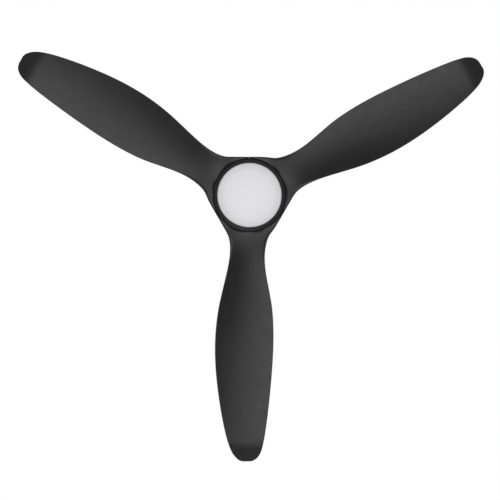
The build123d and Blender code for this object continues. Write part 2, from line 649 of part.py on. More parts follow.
# A shallow dome with a collar that goes up into the bezel and carries three lugs.
with BuildPart() as diffuser:
    inner_r, inner_edge = diffuser_r - diffuser_wall, diffuser_edge + 1.6
    inner_low, collar_top = diffuser_low + diffuser_wall, pan_low + collar_tall
    with BuildSketch(Plane.XZ):
        with BuildLine():
            ThreePointArc(*dome_points(diffuser_r, diffuser_edge, diffuser_low))
            Polyline((diffuser_r, diffuser_edge), (diffuser_r, diffuser_top),
                     (collar_out, diffuser_top), (collar_out, collar_top),
                     (collar_in, collar_top), (collar_in, diffuser_top - diffuser_wall),
                     (inner_r, diffuser_top - 3.5),
                     (inner_r, inner_edge))
            ThreePointArc(*reversed(dome_points(inner_r, inner_edge, inner_low)))
            Line((0, inner_low), (0, diffuser_low))
        face = make_face()
        corners = face.vertices()
        fillet([corners.sort_by_distance((diffuser_r, diffuser_edge))[0],
                corners.sort_by_distance((inner_r, inner_edge))[0]], diffuser_round)
    revolve(axis=Axis.Z)
    with BuildSketch(Plane.XY.offset(pan_low + 0.3)):
        with PolarLocations(collar_out + 0.8, 3):
            Rectangle(lug_deep, lug_wide)
    extrude(amount=lug_tall)

# ---- leads held inside --------------------------------------------------------------

with BuildPart() as supply_lead:
    lead(
        "supply_lead",
        [(0, -36, -10), (0, -5.8, -10), (0.5, -5.8, -86), (0, -5.8, -142.5),
         (0, -0.8, -156), (0, -0.3, -176), (0, -34, -176)],
        supply_r,
    )

with BuildPart() as light_lead:
    lead(
        "light_lead",
        [(0, 34, -180), (0, 0.8, -180), (0.9, -0.6, -222), (0, 0, -261), (24, 0, -261)],
        light_lead_r,
    )

# ---- files --------------------------------------------------------------------------

pieces = {
    "hanger_bracket": hanger_bracket.part,
    "canopy": canopy.part,
    "canopy_screws": canopy_screws.part,
    "terminal_block": terminal_block.part,
    "ball_seat_liner": ball_seat_liner.part,
    "hanger_ball": hanger_ball.part,
    "ball_pin": ball_pin.part,
    "ball_set_screw": ball_set_screw.part,
    "downrod": downrod.part,
    "yoke": yoke.part,
    "yoke_flange_screws": yoke_flange_screws.part,
    "yoke_set_screws": yoke_set_screws.part,
    "clevis_pin": clevis_pin.part,
    "hairpin_clip": hairpin_clip.part,
    "coupling_cover": coupling_cover.part,
    "motor_top_plate": motor_top_plate.part,
    "motor_housing": motor_housing.part,
    "housing_screws": housing_screws.part,
    "motor_shaft": motor_shaft.part,
    "circlip": circlip.part,
    "board_standoffs": board_standoffs.part,
    "driver_board": driver_board.part,
    "driver_components": driver_components.part,
    "stator_hub": stator_hub.part,
    "stator_core": stator_core.part,
    "stator_windings": stator_windings.part,
    "bearing_spacers": bearing_spacers.part,
    "bearing_inner_races": bearing_inner_races.part,
    "bearing_outer_races": bearing_outer_races.part,
    "bearing_cages": bearing_cages.part,
    "rotor_upper_bell": rotor_upper_bell.part,
    "rotor_lower_bell": rotor_lower_bell.part,
    "rotor_ring": rotor_ring.part,
    "rotor_magnets": rotor_magnets.part,
    "rotor_case_screws": rotor_case_screws.part,
    "blade_screws": blade_screws.part,
    "light_pan": light_pan.part,
    "shaft_nut": shaft_nut.part,
    "light_driver": light_driver.part,
    "led_board": led_board.part,
    "led_chips": led_chips.part,
    "led_board_screws": led_board_screws.part,
    "light_bezel": light_bezel.part,
    "diffuser": diffuser.part,
    "supply_lead": supply_lead.part,
    "light_lead": light_lead.part,
}
for number, angle in enumerate(blade_angles, start=1):
    pieces[f"blade_{number}"] = blade.part.rotate(Axis.Z, angle)

os.makedirs("parts", exist_ok=True)
for name, piece in pieces.items():
    piece.label = name
    export_step(piece, f"parts/{name}.step")
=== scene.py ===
import json
import math

import bmesh
import bpy
import numpy as np
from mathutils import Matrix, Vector


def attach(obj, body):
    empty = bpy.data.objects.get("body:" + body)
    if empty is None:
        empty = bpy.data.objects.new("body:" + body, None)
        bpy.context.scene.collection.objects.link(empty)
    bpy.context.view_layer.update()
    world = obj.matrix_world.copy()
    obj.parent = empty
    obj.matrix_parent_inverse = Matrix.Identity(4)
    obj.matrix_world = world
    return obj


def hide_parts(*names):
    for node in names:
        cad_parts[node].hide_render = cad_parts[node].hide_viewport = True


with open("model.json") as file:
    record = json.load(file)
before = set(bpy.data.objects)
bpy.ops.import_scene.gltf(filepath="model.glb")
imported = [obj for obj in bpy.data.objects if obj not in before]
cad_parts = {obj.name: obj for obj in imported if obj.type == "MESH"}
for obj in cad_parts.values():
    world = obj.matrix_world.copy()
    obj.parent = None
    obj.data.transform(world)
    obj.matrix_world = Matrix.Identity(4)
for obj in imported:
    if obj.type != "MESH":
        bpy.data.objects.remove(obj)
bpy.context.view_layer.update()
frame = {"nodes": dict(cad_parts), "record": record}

MM = 0.001
SEGMENTS = 192      # steps round a turned piece
WELD = 1e-6         # metres between points that are one


# ---- mesh helpers -------------------------------------------------------------------

def finish_mesh(name, verts, faces, material, body, slot, sharp=35):
    """Makes a smooth piece from points in millimetres and puts it on its body.

    Edges that turn by more than sharp degrees stay crisp.
    """
    mesh = bpy.data.meshes.new(name)
    mesh.from_pydata([Vector(v) * MM for v in verts], [], faces)
    work = bmesh.new()
    work.from_mesh(mesh)
    bmesh.ops.remove_doubles(work, verts=work.verts, dist=WELD)
    bmesh.ops.dissolve_degenerate(work, edges=work.edges, dist=WELD / 10)
    bmesh.ops.recalc_face_normals(work, faces=work.faces)
    work.to_mesh(mesh)
    work.free()
    mesh.materials.append(material)
    mesh.shade_smooth()
    mesh.set_sharp_from_angle(angle=math.radians(sharp))
    piece = bpy.data.objects.new(name, mesh)
    bpy.context.collection.objects.link(piece)
    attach(piece, body)
    return piece


def rounded(corners, steps=6):
    """A closed (r, z) outline, each of its corners (r, z, radius) rounded off."""
    outline = []
    count = len(corners)
    for i, (r, z, radius) in enumerate(corners):
        here = Vector((r, z))
        before = Vector(corners[i - 1][:2]) - here
        after = Vector(corners[(i + 1) % count][:2]) - here
        if radius <= 0:
            outline.append((r, z))
            continue
        half = before.angle(after) / 2
        reach = min(radius / math.tan(half), before.length * 0.49, after.length * 0.49)
        start = here + before.normalized() * reach
        end = here + after.normalized() * reach
        for step in range(steps + 1):
            t = step / steps
            point = start * (1 - t) ** 2 + here * 2 * t * (1 - t) + end * t**2
            outline.append(tuple(point))
    return outline


def turned(outline_at):
    """Points and faces of a closed (r, z) outline turned about the fan's axis.

    outline_at gives the outline at an angle in degrees, with as many points at each.
    """
    verts, faces = [], []
    for turn in range(SEGMENTS):
        angle = 360 * turn / SEGMENTS
        outline = outline_at(angle)
        cos, sin = math.cos(math.radians(angle)), math.sin(math.radians(angle))
        verts += [(r * cos, r * sin, z) for r, z in outline]
    count = len(outline)
    for turn in range(SEGMENTS):
        a, b = turn * count, (turn + 1) % SEGMENTS * count
        faces += [(a + i, a + (i + 1) % count, b + (i + 1) % count, b + i)
                  for i in range(count)]
    return verts, faces


def lathe(name, outline, material, body, slot, sharp=35):
    """A piece with the same (r, z) outline all round the fan's axis."""
    verts, faces = turned(lambda angle: outline)
    return finish_mesh(name, verts, faces, material, body, slot, sharp)


def smooth_curve(xs, ys):
    """The natural cubic spline through the points, as a function of x."""
    xs, ys = np.array(xs, float), np.array(ys, float)
    gaps = np.diff(xs)
    count = len(xs)
    left, right = np.eye(count), np.zeros(count)
    for i in range(1, count - 1):
        left[i, i - 1:i + 2] = gaps[i - 1], 2 * (gaps[i - 1] + gaps[i]), gaps[i]
        rise, next_rise = ys[i] - ys[i - 1], ys[i + 1] - ys[i]
        right[i] = 6 * (next_rise / gaps[i] - rise / gaps[i - 1])
    bend = np.linalg.solve(left, right)

    def value(x):
        i = np.clip(np.searchsorted(xs, x) - 1, 0, count - 2)
        gap, on, off = gaps[i], x - xs[i], xs[i + 1] - x
        cubic = (bend[i] * off**3 + bend[i + 1] * on**3) / (6 * gap)
        line = (ys[i] / gap - bend[i] * gap / 6) * off
        return cubic + line + (ys[i + 1] / gap - bend[i + 1] * gap / 6) * on

    return value


def ease(t):
    """0 to 1 with level ends."""
    t = min(max(t, 0.0), 1.0)
    return t * t * (3 - 2 * t)


# ---- material helpers ---------------------------------------------------------------

def fill_ramp(node, stops):
    """Gives a colour ramp its (position, colour) stops."""
    elements = node.color_ramp.elements
    while len(elements) < len(stops):
        elements.new(0.5)
    for element, (spot, color) in zip(elements, stops):
        element.position = spot
        element.color = (*color, 1.0)


class Paint:
    """A Principled material whose colour, roughness and bump come from nodes."""

    def __init__(self, name, metallic=0.0, specular=0.5):
        self.material = bpy.data.materials.new(name)
        self.material.use_nodes = True
        self.tree = self.material.node_tree
        self.shader = self.tree.nodes["Principled BSDF"]
        self.shader.inputs["Metallic"].default_value = metallic
        self.shader.inputs["Specular IOR Level"].default_value = specular
        self.place = self.node("ShaderNodeTexCoord").outputs["Object"]
        self.height = None

    def node(self, kind, **settings):
        """A new node of this kind with its settings."""
        made = self.tree.nodes.new(kind)
        for key, value in settings.items():
            setattr(made, key, value)
        return made

    def link(self, out, into):
        """Joins an output to an input."""
        self.tree.links.new(out, into)

    def stretch(self, scale):
        """The place with its axes scaled, for streaks and bands."""
        made = self.node("ShaderNodeMapping")
        made.inputs["Scale"].default_value = scale
        self.link(self.place, made.inputs["Vector"])
        return made.outputs["Vector"]

    def noise(self, scale, detail=3.0, rough=0.5, place=None):
        """Soft noise from 0 to 1 with about scale lumps to the metre."""
        made = self.node("ShaderNodeTexNoise")
        made.inputs["Scale"].default_value = scale
        made.inputs["Detail"].default_value = detail
        made.inputs["Roughness"].default_value = rough
        self.link(place or self.place, made.inputs["Vector"])
        return made.outputs["Fac"]

    def cells(self, scale, feature="F1"):
        """Distance to the nearest cell's centre or edge, about scale cells to the metre."""
        made = self.node("ShaderNodeTexVoronoi", feature=feature)
        made.inputs["Scale"].default_value = scale
        self.link(self.place, made.inputs["Vector"])
        return made.outputs["Distance"]

    def calc(self, kind, first, second=0.0):
        """One sum on numbers or on outputs."""
        made = self.node("ShaderNodeMath", operation=kind)
        for socket, value in zip(made.inputs, (first, second)):
            if isinstance(value, (int, float)):
                socket.default_value = value
            else:
                self.link(value, socket)
        return made.outputs["Value"]

    def part(self, axis):
        """One coordinate of the place, or its distance from the fan's axis."""
        if axis == "radius":
            flat = self.stretch((1, 1, 0))
            made = self.node("ShaderNodeVectorMath", operation="LENGTH")
            self.link(flat, made.inputs[0])
            return made.outputs["Value"]
        made = self.node("ShaderNodeSeparateXYZ")
        self.link(self.place, made.inputs[0])
        return made.outputs[axis]

    def color(self, fac, stops):
        """Base colour from a ramp of (position, colour) stops."""
        made = self.node("ShaderNodeValToRGB")
        fill_ramp(made, stops)
        self.link(fac, made.inputs["Fac"])
        self.link(made.outputs["Color"], self.shader.inputs["Base Color"])

    def roughness(self, fac, low, high):
        """Roughness from low to high where noise has most of its values."""
        made = self.node("ShaderNodeMapRange")
        ends = {"From Min": 0.3, "From Max": 0.7, "To Min": low, "To Max": high}
        for socket, value in ends.items():
            made.inputs[socket].default_value = value
        self.link(fac, made.inputs["Value"])
        self.link(made.outputs["Result"], self.shader.inputs["Roughness"])

    def bump(self, height, depth, strength=1.0):
        """Adds one more layer of relief, depth in metres."""
        made = self.node("ShaderNodeBump")
        made.inputs["Distance"].default_value = depth
        made.inputs["Strength"].default_value = strength
        self.link(height, made.inputs["Height"])
        if self.height:
            self.link(self.height, made.inputs["Normal"])
        self.height = made.outputs["Normal"]
        self.link(self.height, self.shader.inputs["Normal"])


def grey(value, tint=0.0):
    """A neutral colour, a little blue where tint is above 0."""
    return (value, value * (1 + tint / 2), value * (1 + tint))


# ---- materials ----------------------------------------------------------------------

SHEET_PITCH = 0.0005    # metres from one lamination to the next
WIRE_PITCH = 0.0009     # and from one turn of wire to the next


def moulded_black(name, value, low, high, grain):
    """Injection-moulded black plastic: fine spark grain and faint cloudiness."""
    paint = Paint(name)
    cloud = paint.noise(9.0, 4.0)
    paint.color(cloud, [(0.3, grey(value * 0.85)), (0.7, grey(value * 1.15, 0.02))])
    paint.roughness(paint.noise(60.0, 3.0), low, high)
    paint.bump(paint.noise(grain, 2.0, 0.6), 0.00006, 0.6)
    paint.bump(paint.noise(14.0, 2.0), 0.0006, 0.12)
    return paint.material


def powder_black(name, value):
    """Powder coat on metal: orange peel over a satin black."""
    paint = Paint(name)
    paint.color(paint.noise(12.0, 3.0), [(0.3, grey(value * 0.9)), (0.7, grey(value * 1.1))])
    paint.roughness(paint.noise(90.0, 3.0), 0.42, 0.54)
    paint.bump(paint.noise(520.0, 1.5, 0.4), 0.00012, 0.55)
    paint.bump(paint.noise(3200.0, 1.0), 0.00003, 0.5)
    return paint.material


def metal(name, dark, light, low, high, streak=(1, 1, 1), scale=300.0):
    """Bare metal with streaks or mottling."""
    paint = Paint(name, metallic=1.0)
    streaks = paint.noise(scale, 4.0, 0.6, paint.stretch(streak))
    paint.color(streaks, [(0.35, dark), (0.65, light)])
    paint.roughness(streaks, low, high)
    paint.bump(streaks, 0.00004, 0.5)
    return paint.material


def zinc_plate():
    """Zinc-plated steel: bright, with a faint spangle and dull patches."""
    paint = Paint("zinc_steel", metallic=1.0)
    spangle = paint.cells(420.0)
    cloud = paint.noise(45.0, 4.0)
    spangle_share = paint.calc("MULTIPLY", spangle, 0.3)
    cloud_share = paint.calc("MULTIPLY", cloud, 0.8)
    both = paint.calc("ADD", spangle_share, cloud_share)
    paint.color(both, [(0.25, (0.42, 0.43, 0.45)), (0.75, (0.68, 0.69, 0.7))])
    paint.roughness(cloud, 0.28, 0.46)
    paint.bump(paint.noise(900.0, 2.0), 0.00003, 0.4)
    return paint.material


def laminations():
    """Stacked electrical steel: thin sheets seen edge on."""
    paint = Paint("lamination_steel", metallic=0.8)
    phase = paint.calc("MULTIPLY", paint.part("Z"), 2 * math.pi / SHEET_PITCH)
    sheets = paint.calc("SINE", phase)
    paint.color(paint.noise(120.0, 4.0), [(0.3, grey(0.13)), (0.7, grey(0.24, 0.03))])
    paint.roughness(paint.noise(200.0), 0.4, 0.6)
    paint.bump(sheets, 0.00008, 0.6)
    return paint.material


def copper_turns():
    """Enamelled wire wound round each tooth: one band for each turn."""
    paint = Paint("copper_wire", metallic=1.0)
    phase = paint.calc("MULTIPLY", paint.part("radius"), 2 * math.pi / WIRE_PITCH)
    turns = paint.calc("SINE", phase)
    paint.color(paint.noise(150.0, 4.0), [(0.3, (0.42, 0.15, 0.06)), (0.7, (0.72, 0.32, 0.15))])
    paint.roughness(paint.noise(300.0), 0.22, 0.38)
    paint.bump(turns, 0.0003, 1.0)
    return paint.material


def board(name, mask, trace, pad):
    """Circuit board: a net of faint tracks under the solder mask."""
    paint = Paint(name, specular=0.6)
    cells = paint.cells(160.0, "DISTANCE_TO_EDGE")
    paint.color(cells, [(0.02, pad), (0.06, trace), (0.2, mask)])
    paint.roughness(paint.noise(80.0), 0.28, 0.42)
    paint.bump(cells, 0.00008, 0.5)
    return paint.material


def plastic(name, dark, light, low=0.35, high=0.5, grain=900.0):
    """Plain moulded plastic with fine grain and slight unevenness."""
    paint = Paint(name)
    paint.color(paint.noise(40.0, 3.0), [(0.3, dark), (0.7, light)])
    paint.roughness(paint.noise(150.0), low, high)
    paint.bump(paint.noise(grain, 2.0), 0.00005, 0.5)
    return paint.material


def opal():
    """Satin opal plastic over a light: cool white, its colour darkened towards the rim as painted
    shade.
    """
    paint = Paint("opal")
    cloud = paint.calc("MULTIPLY", paint.noise(25.0, 3.0), 0.004)
    reach = paint.calc("ADD", paint.part("radius"), cloud)
    painted_rim_shade_by_radius = paint.calc("MULTIPLY", reach, 10.0)
    # Painted shade: the colour darkens with distance from the axis, standing in for the rounded
    # rim turning away from the light.
    paint.color(painted_rim_shade_by_radius, [(0.3, (0.80, 0.795, 0.84)), (0.62, (0.76, 0.76, 0.80)),
                             (0.74, (0.66, 0.66, 0.70)), (0.8, (0.62, 0.62, 0.66))])
    paint.roughness(paint.noise(25.0, 3.0), 0.34, 0.42)
    paint.bump(paint.noise(1500.0, 1.0), 0.00002, 0.4)
    glow = {"Subsurface Weight": 0.3, "Subsurface Radius": (0.004, 0.004, 0.0045),
            "Subsurface Scale": 1.0, "Emission Color": (0.98, 0.97, 1.0, 1.0),
            "Emission Strength": 0.05}
    for socket, value in glow.items():
        paint.shader.inputs[socket].default_value = value
    return paint.material


# One material for each of the record's slots.
materials = {
    "blade_abs": moulded_black("blade_abs", 0.0115, 0.36, 0.46, 1800.0),
    "black_abs": moulded_black("black_abs", 0.012, 0.38, 0.5, 1500.0),
    "black_paint": powder_black("black_paint", 0.014),
    "black_screw": metal("black_screw", grey(0.02), grey(0.05), 0.35, 0.5),
    "zinc_steel": zinc_plate(),
    "bright_steel": metal("bright_steel", grey(0.5), grey(0.72, 0.02), 0.15, 0.3, (1, 1, 14)),
    "lamination_steel": laminations(),
    "magnet": metal("magnet", grey(0.3), grey(0.42), 0.3, 0.45, scale=90.0),
    "cast_aluminium": metal("cast_aluminium", grey(0.42), grey(0.6, 0.02), 0.42, 0.6, scale=700.0),
    "copper_wire": copper_turns(),
    "brass": metal("brass", (0.5, 0.34, 0.12), (0.78, 0.58, 0.26), 0.2, 0.35, (1, 1, 9)),
    "rubber": plastic("rubber", grey(0.015), grey(0.03), 0.7, 0.85, 600.0),
    "white_plastic": plastic("white_plastic", grey(0.62), grey(0.74), 0.35, 0.5),
    "white_board": board("white_board", grey(0.78), grey(0.7), grey(0.6)),
    "board_green": board("board_green", (0.01, 0.1, 0.04), (0.02, 0.16, 0.07), (0.3, 0.35, 0.2)),
    "component_black": plastic("component_black", grey(0.02), grey(0.05)),
    "led_yellow": plastic("led_yellow", (0.75, 0.55, 0.1), (0.9, 0.72, 0.2), 0.25, 0.35),
    "lead_sheath": plastic("lead_sheath", grey(0.04), grey(0.07), 0.5, 0.65, 1200.0),
    "opal": opal(),
}

for sub in frame["record"]["subparts"]:
    for holder in frame["nodes"][sub["node"]].material_slots:
        holder.material = materials[sub["material_slot"]]


# ---- blades -------------------------------------------------------------------------

# The CAD blade's stations, in millimetres: distance from the axis, reach of the trailing
# and of the leading edge, height of the middle, slope and curl of the mean line, thickness
# in the middle and at the edges. Here the bend up to the tip starts a little more softly.
STATIONS = (
    (45.0, 83.7, 83.7, -255.0, 0.00, 0.00, 32.0, 31.0),
    (70.0, 69.3, 69.3, -255.0, 0.00, 0.00, 32.0, 31.0),
    (86.0, 60.2, 59.0, -255.8, 0.05, 0.05, 31.0, 29.0),
    (99.0, 53.4, 49.6, -256.3, 0.14, 0.14, 29.0, 26.0),
    (111.0, 49.9, 44.3, -256.6, 0.22, 0.22, 26.5, 22.0),
    (124.0, 48.3, 40.9, -256.4, 0.30, 0.30, 23.5, 17.5),
    (149.0, 49.0, 37.9, -255.5, 0.41, 0.38, 18.5, 10.5),
    (186.0, 55.2, 39.9, -253.2, 0.45, 0.42, 14.5, 5.5),
    (223.0, 63.9, 46.3, -251.5, 0.45, 0.42, 12.0, 3.6),
    (272.0, 75.0, 55.1, -250.5, 0.42, 0.40, 10.0, 3.0),
    (322.0, 82.3, 59.1, -250.1, 0.37, 0.37, 9.0, 3.0),
    (371.0, 85.1, 59.2, -250.0, 0.34, 0.34, 8.4, 3.0),
    (421.0, 84.0, 56.8, -250.0, 0.31, 0.32, 7.8, 3.0),
    (471.0, 79.5, 52.8, -250.0, 0.28, 0.30, 7.2, 3.0),
    (520.0, 72.8, 47.8, -250.0, 0.25, 0.28, 6.7, 3.0),
    (570.0, 63.6, 41.6, -250.0, 0.23, 0.24, 6.0, 3.0),
    (600.0, 56.5, 37.0, -249.8, 0.21, 0.19, 5.4, 3.0),
    (612.0, 52.9, 34.6, -248.6, 0.20, 0.16, 5.1, 3.0),
    (621.0, 49.9, 32.6, -245.7, 0.19, 0.12, 4.8, 2.9),
    (632.0, 45.6, 29.8, -239.7, 0.18, 0.08, 4.4, 2.8),
    (646.0, 37.2, 23.2, -230.8, 0.18, 0.05, 3.8, 2.6),
    (654.0, 29.7, 16.3, -226.0, 0.18, 0.03, 3.3, 2.4),
    (658.5, 22.6, 8.2, -223.4, 0.18, 0.02, 2.8, 2.2),
    (660.0, 16.5, 1.5, -222.5, 0.18, 0.02, 2.2, 2.0),
)
TIP, NECK = 660.0, 124.0
TIP_EASE = 0.4              # keeps from_tip's slope finite at the tip
TIP_START = 600.0           # from here on the loops crowd towards the tip
BODY_STEPS, TIP_STEPS, HUB_STEPS = 60, 22, 14
HUB_CROWDING = 1.15         # loops on the hub crowd a little towards the skirt
TIP_END = 0.02              # the last loop stops this far before the tip
BLADE_ANGLES = (-90, 30, 150)
HALF_THIRD = math.radians(60)
SEAM = 0.9985               # what each third of the hub fills of its way to the seam
FIT = 0.9998                # keeps the smooth outline a hair inside the CAD blade

SKIRT, SKIRT_IN, SKIRT_TOP, SKIRT_LOW = 95.0, 90.5, -238.0, -270.5
ROOT_IN, ROOT_LOW = 50.0, -243.0
# The hub's inside as (radius, underside): the root plate, then the skirt's inner face down
# to its rounded lower edge.
ROOT_PROFILE = (
    (ROOT_IN, ROOT_LOW),
    (70.0, ROOT_LOW),
    (90.3, ROOT_LOW),
    (SKIRT_IN, ROOT_LOW - 0.4),
    (SKIRT_IN + 0.05, SKIRT_LOW + 1.2),
    (SKIRT_IN + 0.5, SKIRT_LOW + 0.35),
    (SKIRT_IN + 1.3, SKIRT_LOW),
)
HUB_CORNER, NECK_CORNER = 4.0, 9.0      # rounding of the long edges
CORNER_START, CORNER_SPAN = 60, 50      # where the one grows into the other
EDGE_FLAT = 0.05                        # what the rounding leaves of half an edge
TOP_REACH = 1 / 1.6                     # share of the hub over which its flat top runs out
TOP_ROUND = 0.4                         # share of the corner's rounding that the top keeps

# One closed loop: over the upper face (1) from one edge to the other, and back below (-1).
ACROSS = 44
spread = [math.sin(math.pi / 2 * (1 - 2 * i / (ACROSS - 1))) for i in range(ACROSS)]
LOOP = [(1, t) for t in spread] + [(-1, t) for t in reversed(spread)]


def from_tip(u):
    """The place along the blade on a scale that spreads out where the tip closes."""
    return -math.sqrt(TIP + TIP_EASE - u)


columns = list(zip(*STATIONS))
places = [from_tip(u) for u in columns[0]]
fields = [smooth_curve(places, column) for column in columns[1:]]


def blade_shape(u):
    """Trailing and leading reach, middle, slope, curl, thickness and edge at u."""
    return [float(field(from_tip(u))) for field in fields]


def blade_width(u):
    """Where the middle of the chord lies across the blade, and half of the chord."""
    trailing, leading = blade_shape(u)[:2]
    return (trailing - leading) / 2, (trailing + leading) / 2


def corner_radius(u):
    """The rounding of the long edges, larger on the neck than between the blades."""
    return HUB_CORNER + (NECK_CORNER - HUB_CORNER) * ease((u - CORNER_START) / CORNER_SPAN)


def round_off(radius, inset):
    """How far a rounded corner falls away this far in from its side."""
    inset = min(max(inset, 0.0), radius)
    return radius - math.sqrt(radius**2 - (radius - inset) ** 2)


def blade_height(u, across, side):
    """Height of the upper (1) or lower (-1) face, with rounded edges."""
    trailing, leading, middle, slope, curl, thick, edge = blade_shape(u)
    half = (trailing + leading) / 2
    lift = edge / 2
    if side > 0:
        lift += (thick - edge) * (1 - abs(across) ** 3)
    lift -= round_off(min(corner_radius(u), edge / 2 - EDGE_FLAT), half * (1 - abs(across)))
    return middle - half * (slope * across + curl * across**2 / 2) + side * lift


def hub_point(share, t, side):
    """A point between the skirt (share 0) and the neck (share 1)."""
    v0 = SKIRT * math.sin(HALF_THIRD) * t * SEAM
    u0 = math.sqrt(SKIRT**2 - v0**2)
    middle, half = blade_width(u0)
    start = (v0 - middle) / half
    across = start + (t - start) * ease(share)
    u = u0 + (NECK - u0) * share
    middle, half = blade_width(u)
    z = blade_height(u, max(-1.0, min(1.0, across)), side)
    if side > 0:
        drop = round_off(HUB_CORNER, SKIRT * math.sin(HALF_THIRD) * (1 - abs(t)))
        z += (SKIRT_TOP - TOP_ROUND * drop - z) * (1 - ease(share / TOP_REACH))
    return (u, middle + half * across, z)


def root_loop(radius, low):
    """A loop on the inside of the hub: flat above, and at height low below."""
    loop = []
    for side, t in LOOP:
        v = radius * math.sin(HALF_THIRD) * t * SEAM
        loop.append((math.sqrt(radius**2 - v**2), v, SKIRT_TOP if side > 0 else low))
    return loop


def blade_loops():
    """Closed loops round the blade, from the inner edge of its root plate to its tip."""
    loops = [root_loop(radius, low) for radius, low in ROOT_PROFILE]
    for step in range(HUB_STEPS + 1):
        share = (step / HUB_STEPS) ** HUB_CROWDING
        loops.append([hub_point(share, t, side) for side, t in LOOP])
    spans = [NECK + (TIP_START - NECK) * i / BODY_STEPS for i in range(1, BODY_STEPS + 1)]
    spans += [TIP - (TIP - TIP_START) * (1 - i / TIP_STEPS) ** 2 for i in range(1, TIP_STEPS)]
    for u in spans + [TIP - TIP_END]:
        middle, half = blade_width(u)
        loops.append([(u, middle + half * t, blade_height(u, t, side)) for side, t in LOOP])
    return loops


def make_blade(name, angle, loops):
    """Skins the loops, closes both ends and turns the blade to its angle."""
    turn = math.radians(angle)
    cos, sin = math.cos(turn) * FIT, math.sin(turn) * FIT
    size = len(LOOP)
    verts = [(x * cos - y * sin, x * sin + y * cos, z) for loop in loops for x, y, z in loop]
    faces = []
    for a in range(len(loops) - 1):
        here, after = a * size, (a + 1) * size
        faces += [(here + i, here + (i + 1) % size, after + (i + 1) % size, after + i)
                  for i in range(size)]
    for start in (0, (len(loops) - 1) * size):
        faces += [(start + i, start + i + 1, start + size - 2 - i, start + size - 1 - i)
                  for i in range(ACROSS - 1)]
    piece = finish_mesh(name + "_moulding", verts, faces, materials["blade_abs"],
                        "rotor", "blade_abs", sharp=50)
    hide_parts(name)


blade_rings = blade_loops()
for number, angle in enumerate(BLADE_ANGLES, start=1):
    make_blade(f"blade_{number}", angle, blade_rings)


# ---- light --------------------------------------------------------------------------

# Millimetres, as in the CAD diffuser and bezel.
DIFFUSER_R, DIFFUSER_TOP, DIFFUSER_EDGE, DIFFUSER_LOW = 79.2, -271.4, -288.5, -296.48
DOME_END = 74.7                             # the outer dome gives way to the rounded edge
EDGE_ROUND, EDGE_CENTRE, EDGE_START = 5, -284.6, 0.12
LINE_R, LINE_SIZE = 72.7, 0.45              # a fine line moulded near the edge
COLLAR_OUT, COLLAR_IN, COLLAR_TOP, COLLAR_FOOT = 77.8, 75.8, -263.4, -273.4
INNER_R, INNER_TOP, INNER_EDGE, INNER_LOW = 77.2, -275.0, -286.9, -294.5
INNER_END = 75.0                            # and the inner dome to INNER_CORNER
INNER_CORNER = [(INNER_R, -283.0), (76.8, -285.0), (75.9, -286.4)]
LUG_ANGLES = (0, 120, 240)
LUG_LOW, LUG_HIGH = (77.4, -9.0, -267.1), (79.8, 9.0, -264.5)   # radius, across, height

BEZEL_R, BEZEL_TOP, BEZEL_EDGE, BEZEL_LOW = 89.0, -256.0, -270.5, -276.0
BEZEL_IN, LIP_OUT, LIP_IN, LIP_LOW = 86.1, 80.4, 79.7, -275.7
LEDGE_IN, LEDGE_LOW, LEDGE_TOP = 78.5, -270.4, -267.4
GAP_R, GAP_TURN, GAP_HALF = 80.3, 20, 8     # gaps in the ledge, a turn away from the lugs


def dome(reach, edge, low, steps=28):
    """Points of a spherical dome from the axis out to its edge."""
    depth = edge - low
    ball = (reach**2 + depth**2) / (2 * depth)
    return [(reach * i / steps, low + ball - math.sqrt(ball**2 - (reach * i / steps) ** 2))
            for i in range(steps + 1)]


def add_block(verts, faces, angle, low, high):
    """Adds a box that spans low to high in radius, across and height at an angle."""
    base = len(verts)
    cos, sin = math.cos(math.radians(angle)), math.sin(math.radians(angle))
    for r in (low[0], high[0]):
        for across in (low[1], high[1]):
            for z in (low[2], high[2]):
                verts.append((r * cos - across * sin, r * sin + across * cos, z))
    sides = ((0, 1, 3, 2), (4, 6, 7, 5), (0, 4, 5, 1), (2, 3, 7, 6), (0, 2, 6, 4), (1, 5, 7, 3))
    faces += [tuple(base + corner for corner in side) for side in sides]


def diffuser_outline():
    """The section of the dome, its rounded edge and its collar, from the axis and back."""
    outside = [(r, z) for r, z in dome(DIFFUSER_R, DIFFUSER_EDGE, DIFFUSER_LOW, 60)
               if r < DOME_END]
    outside += [(DIFFUSER_R - EDGE_ROUND + EDGE_ROUND * math.sin(a),
                 EDGE_CENTRE - EDGE_ROUND * math.cos(a))
                for a in np.linspace(EDGE_START, math.pi / 2, 12)]
    outside = [(r, z + LINE_SIZE * math.exp(-((r - LINE_R) / LINE_SIZE) ** 2))
               for r, z in outside]
    rim = rounded([(DIFFUSER_R, DIFFUSER_TOP, 0.5), (COLLAR_OUT, DIFFUSER_TOP, 0.3),
                   (COLLAR_OUT, COLLAR_TOP, 0.4), (COLLAR_IN, COLLAR_TOP, 0.4),
                   (COLLAR_IN, COLLAR_FOOT, 0.5), (INNER_R, INNER_TOP, 0.6)])
    inside = [(r, z) for r, z in reversed(dome(INNER_R, INNER_EDGE, INNER_LOW)) if r < INNER_END]
    return outside + rim + INNER_CORNER + inside


def make_diffuser():
    """The opal dome with its collar and three lugs."""
    outline = diffuser_outline()
    verts, faces = turned(lambda angle: outline)
    for angle in LUG_ANGLES:
        add_block(verts, faces, angle, LUG_LOW, LUG_HIGH)
    piece = finish_mesh("diffuser_dome", verts, faces, materials["opal"], "light_cover", "opal")
    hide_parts("diffuser")


